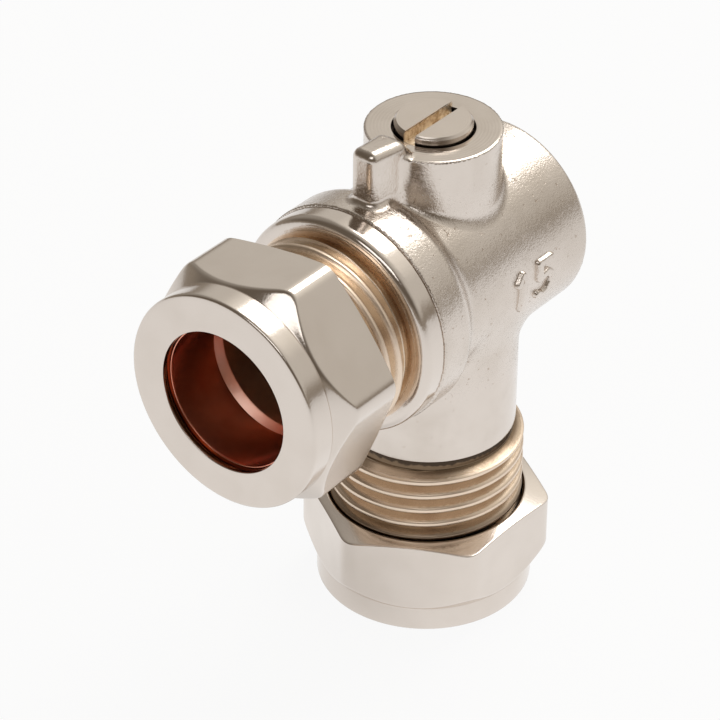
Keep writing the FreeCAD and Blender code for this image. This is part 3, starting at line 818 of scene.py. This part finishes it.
def skin_of(distance, low, high, cell):
    """Corners and quads of the skin where a distance is zero: one corner in each cell that it crosses."""
    axes = [np.arange(start, end + cell, cell) for start, end in zip(low, high)]
    value = distance(*np.meshgrid(*axes, indexing="ij"))
    inside = value < 0
    cells = tuple(count - 1 for count in value.shape)
    total = np.zeros(cells + (3,))
    count = np.zeros(cells)
    for axis in range(3):
        for offset in np.ndindex(2, 2):
            shift = list(offset)
            shift.insert(axis, 0)
            start = tuple(slice(s, s + c) for s, c in zip(shift, cells))
            shift[axis] = 1
            end = tuple(slice(s, s + c) for s, c in zip(shift, cells))
            crossed = inside[start] != inside[end]
            share = value[start][crossed] / (value[start][crossed] - value[end][crossed])
            point = np.tile(np.array(shift, float), (len(share), 1))
            point[:, axis] = share
            total[crossed] += point
            count[crossed] += 1
    used = count > 0
    number = np.full(cells, -1)
    number[used] = np.arange(used.sum())
    corners = np.array(low) + (np.argwhere(used) + total[used] / count[used][:, None]) * cell
    quads = []
    for axis in range(3):
        second, third = (axis + 1) % 3, (axis + 2) % 3
        trimmed = [slice(1, -1)] * 3
        trimmed[axis] = slice(0, -1)
        ahead = list(trimmed)
        ahead[axis] = slice(1, None)
        starts, ends = inside[tuple(trimmed)], inside[tuple(ahead)]
        place = np.argwhere(starts != ends)
        place[:, second] += 1
        place[:, third] += 1
        ring = []
        for back_second, back_third in ((1, 1), (0, 1), (0, 0), (1, 0)):
            cell_place = place.copy()
            cell_place[:, second] -= back_second
            cell_place[:, third] -= back_third
            ring.append(number[tuple(cell_place.T)])
        ring = np.stack(ring, axis=1)
        outward = starts[starts != ends]
        ring[~outward] = ring[~outward][:, ::-1]
        quads.append(ring)
    return corners, np.concatenate(quads)


def slope_of(distance, points):
    """A distance at some points, and how it grows there along each axis."""
    reach = 0.02
    grows = []
    for axis in range(3):
        step = np.zeros(3)
        step[axis] = reach
        grows.append((distance(*(points + step).T) - distance(*(points - step).T)) / (2 * reach))
    return distance(*points.T), np.stack(grows, axis=1)


def make_forged_piece(name, distance, low, high, cell):
    """Mesh the skin of a solid that is given by a distance, and settle its corners on that skin."""
    rounds = 5
    least_square = 0.05
    longest_move = 0.1
    corners, quads = skin_of(distance, low, high, cell)
    for _ in range(rounds):
        gap, slope = slope_of(distance, corners)
        square = np.maximum((slope ** 2).sum(axis=1), least_square)
        corners -= np.clip(gap / square, -longest_move, longest_move)[:, None] * slope
    normals = slope_of(distance, corners)[1]
    normals /= np.linalg.norm(normals, axis=1)[:, None]
    corners[:, 2] += BALL_HEIGHT
    mesh = bpy.data.meshes.new(name)
    mesh.from_pydata((corners * MM).tolist(), [], quads.tolist())
    mesh.shade_smooth()
    mesh.normals_split_custom_set_from_vertices(normals.tolist())
    mesh.materials.append(FORGED)
    piece = add_piece(name, mesh)
    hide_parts("valve_body")
    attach(piece, "valve")


def make_forging():
    make_forged_piece("valve_body_forged", bored_forging, FORGING_LOW, FORGING_HIGH, FORGING_CELL)
    make_forged_piece("size_mark", size_mark, SIZE_MARK_LOW, SIZE_MARK_HIGH, SIZE_MARK_CELL)


def make_facing():
    """The faced top of the boss round the stem's head, and its recess."""
    edge = FACING_EDGE
    top = BOSS_TOP + FACING_PROUD
    corners = [
        (RECESS_RADIUS, top, edge),
        (FACING_RADIUS, top, FACING_PROUD),
        (FACING_RADIUS, FACING_FOOT, edge),
        (STEM_BORE, FACING_FOOT, edge),
        (STEM_BORE, RECESS_FLOOR, edge),
        (RECESS_RADIUS, RECESS_FLOOR, edge),
    ]
    place = Matrix.Scale(MM, 4) @ Matrix.Translation((0, 0, BALL_HEIGHT))
    facing = turn_piece("boss_facing", corners, FORGED, place, FACING_SPACING, Steps=FACING_STEPS)
    facing.data.set_sharp_from_angle(angle=FACING_SHARP)
    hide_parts("valve_body")
    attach(facing, "valve")


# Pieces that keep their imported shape

def dress_nodes():
    ptfe = white_ptfe()
    rubber = black_rubber()
    finishes = {
        "stem": stem_nickel(), "ball": ball_chrome(),
        "front_seat": ptfe, "rear_seat": ptfe, "stem_thrust_washer": ptfe,
        "stem_o_ring_lower": rubber, "stem_o_ring_upper": rubber,
    }
    for name, finish in finishes.items():
        mesh = frame["nodes"][name].data
        mesh.materials.clear()
        mesh.materials.append(finish)


# The valve is put together

FORGED = forged_nickel()
COPPER = red_copper()
dress_nodes()
make_forging()
make_facing()
make_outlet_thread()
make_connector()
for port, place, turn in (("inlet", AT_INLET, INLET_NUT_TURN), ("outlet", AT_OUTLET, OUTLET_NUT_TURN)):
    make_nut(port, place, turn)
    make_olive(port, place, COPPER)

# Studio, in metres: a pale floor, softboxes behind and in front, and a room that is dark in front

FLOOR_SIZE = 8.0
FLOOR_DROP = 0.02 * MM
LAMP_TARGET = Vector((0.0, -10.0, BALL_HEIGHT)) * MM
BACK_SOFTBOX = {"place": (-0.035, 0.319, 0.479), "width": 0.285, "height": 0.295, "energy": 0.91}
FRONT_SOFTBOX = {"place": (0.121, -0.342, 0.461), "width": 0.44, "height": 0.17, "energy": 0.4}
ROOM_DARK = rgb(0.14, 0.115, 0.09)
ROOM_LIGHT = rgb(0.64, 0.61, 0.56)
ROOM_GLOW = rgb(1.0, 0.96, 0.88)
ROOM_HORIZON = rgb(0.29, 0.25, 0.205)
GLOW_DEPTH = 0.695
GLOW_HEIGHT = 0.719

# Floor's glow, how it fades away from the valve, and its shade under the inlet nut, in millimetres
FLOOR_WHITE = rgb(1.0, 1.0, 1.0)
FLOOR_FAR = rgb(0.45, 0.43, 0.41)
FLOOR_PAPER = rgb(0.9, 0.9, 0.9)
SEEN_GLOW = 0.92
SEEN_FADE_START = 500
SEEN_FADE_END = 1800
MIRRORED_GLOW = 0.96
MIRRORED_FADE = 400
MIRRORED_FADE_SHARE = 0.73
SHADE_PLACE = (-4, -22)
SHADE_CORE = 4
SHADE_RIM = 22
SHADE_SHARE = 0.4


def make_floor():
    """White paper that glows where the camera or the metal sees it, so that its shadow stays faint."""
    finish = Finish("pale floor")
    away = finish.x.reach(finish.y)
    rays = {wire.socket.name: wire for wire in finish.outputs(finish.add("ShaderNodeLightPath"))}
    mirrored = rays["Is Glossy Ray"].most(rays["Is Transmission Ray"])
    lift = (rays["Is Camera Ray"] * SEEN_GLOW).most(mirrored * MIRRORED_GLOW)
    far = mirrored * away / (away + MIRRORED_FADE) * MIRRORED_FADE_SHARE
    far = far + (1 - mirrored) * away.step(SEEN_FADE_START, SEEN_FADE_END)
    from_shade = (finish.x - SHADE_PLACE[0]).reach(finish.y - SHADE_PLACE[1])
    under_nut = 1 - from_shade.step(SHADE_CORE, SHADE_RIM)
    far = far.most(mirrored * under_nut * SHADE_SHARE)
    white = finish.blend(far, FLOOR_WHITE, FLOOR_FAR)
    glow = finish.add("ShaderNodeEmission", {"Color": white})
    paper = finish.add("ShaderNodeBsdfDiffuse", {"Color": FLOOR_PAPER})
    surface = finish.add("ShaderNodeMixShader", {0: lift, 1: paper, 2: glow})
    finish.add("ShaderNodeOutputMaterial", {"Surface": surface})
    half = FLOOR_SIZE / 2
    mesh = bpy.data.meshes.new("floor")
    mesh.from_pydata([(-half, -half, -FLOOR_DROP), (half, -half, -FLOOR_DROP), (half, half, -FLOOR_DROP),
                      (-half, half, -FLOOR_DROP)], [], [(0, 1, 2, 3)])
    mesh.materials.append(finish.material)
    add_piece("floor", mesh)


def make_lamp(name, place, width, height, energy):
    lamp = bpy.data.lights.new(name, "AREA")
    lamp.shape = "RECTANGLE"
    lamp.size = width
    lamp.size_y = height
    lamp.energy = energy
    stand = bpy.data.objects.new(name, lamp)
    aim = LAMP_TARGET - Vector(place)
    stand.matrix_world = Matrix.Translation(place) @ aim.to_track_quat("-Z", "Y").to_matrix().to_4x4()
    bpy.context.scene.collection.objects.link(stand)


def make_room():
    world = bpy.data.worlds.new("studio room")
    bpy.context.scene.world = world
    world.use_nodes = True
    tree = Tree(world.node_tree)
    world.node_tree.nodes.clear()
    across, depth, height = tree.parts(tree.add("ShaderNodeTexCoord", output="Generated"))
    front_left = (0 - across - depth).step(0.05, 0.35)
    wall = depth.step(-0.45, 0.4) * (1 - front_left * 0.6)
    colour = tree.blend(wall, ROOM_DARK, ROOM_LIGHT)
    round_lamp = (depth * GLOW_DEPTH + height * GLOW_HEIGHT).step(0.8, 0.98)
    colour = tree.blend(round_lamp, colour, ROOM_GLOW)
    colour = tree.blend(height.step(0.06, 0.3), ROOM_HORIZON, colour)
    room = tree.add("ShaderNodeBackground", {"Color": colour, "Strength": 1.0})
    tree.add("ShaderNodeOutputWorld", {"Surface": room})


# Camera, in millimetres from the ball's centre

CAMERA_AZIMUTH = math.radians(38.351)
CAMERA_ELEVATION = math.radians(34.624)
CAMERA_ROLL = math.radians(0.594)
CAMERA_DISTANCE = 375.765
CAMERA_TO_RIGHT = -7.362
CAMERA_TO_TOP = -10.471
CAMERA_LENS = 180.0
CAMERA_SENSOR = 36.0


def make_camera():
    outward = math.cos(CAMERA_ELEVATION)
    back = Vector((math.sin(CAMERA_AZIMUTH) * outward, -math.cos(CAMERA_AZIMUTH) * outward,
                   math.sin(CAMERA_ELEVATION)))
    level = Vector((math.cos(CAMERA_AZIMUTH), math.sin(CAMERA_AZIMUTH), 0.0))
    upright = back.cross(level)
    right = level * math.cos(CAMERA_ROLL) + upright * math.sin(CAMERA_ROLL)
    top = upright * math.cos(CAMERA_ROLL) - level * math.sin(CAMERA_ROLL)
    camera = bpy.data.cameras.new("camera")
    camera.lens = CAMERA_LENS
    camera.sensor_width = CAMERA_SENSOR
    stand = bpy.data.objects.new("camera", camera)
    place = (Vector((0.0, 0.0, BALL_HEIGHT)) + back * CAMERA_DISTANCE
             + right * CAMERA_TO_RIGHT + top * CAMERA_TO_TOP)
    turn = Matrix((right, top, back)).transposed()
    stand.matrix_world = Matrix.Translation(place * MM) @ turn.to_4x4()
    bpy.context.scene.collection.objects.link(stand)
    bpy.context.scene.camera = stand


# The studio is set up

make_floor()
make_room()
make_lamp("back softbox", **BACK_SOFTBOX)
make_lamp("front softbox", **FRONT_SOFTBOX)
make_camera()
bpy.context.scene.view_settings.view_transform = "Standard"
